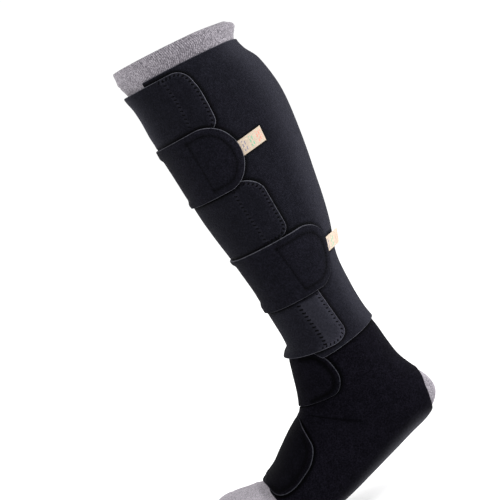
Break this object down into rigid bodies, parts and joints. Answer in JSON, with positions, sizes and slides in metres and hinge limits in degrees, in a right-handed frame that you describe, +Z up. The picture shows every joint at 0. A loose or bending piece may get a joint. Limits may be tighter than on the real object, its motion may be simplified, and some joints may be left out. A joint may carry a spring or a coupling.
{
  "type": "calf and foot compression wrap",
  "caption": "Worn compression wrap for a left calf and foot: foam panels closed by tabs and D-ended straps with hook patches, open heel and toe, over a knitted liner sock.",
  "frame": {"origin": "the middle of the leg at the calf panel's top rim", "axes": "+Z up the calf to the knee, -Y to the toes, +X to the outer side of a left leg"},
  "size_m": [0.1365, 0.2763, 0.497],
  "materials": {
    "heather_knit": "grey heather knit, matt",
    "foot_laminate": "smooth black brushed laminate, matt",
    "calf_laminate": "blue-black loop-pile laminate over foam, soft sheen",
    "label_ribbon": "beige woven ribbon with coloured marks",
    "hook_tape": "black hook tape, matt"
  },
  "bodies": {
    "root": {"liner_sock": "heather_knit", "foot_panel": "foot_laminate", "ankle_tab": "foot_laminate", "instep_tab": "foot_laminate", "calf_panel": "calf_laminate", "calf_tab_top": "calf_laminate", "calf_tab_middle": "calf_laminate", "calf_tab_bottom": "calf_laminate", "strap_upper": "calf_laminate", "strap_lower": "calf_laminate", "label_upper": "label_ribbon", "label_lower": "label_ribbon", "hook_patch_top": "hook_tape", "hook_patch_middle": "hook_tape", "hook_patch_bottom": "hook_tape", "hook_patch_strap_upper": "hook_tape", "hook_patch_strap_lower": "hook_tape", "hook_patch_ankle": "hook_tape", "hook_patch_instep": "hook_tape"}
  },
  "joints": []
}
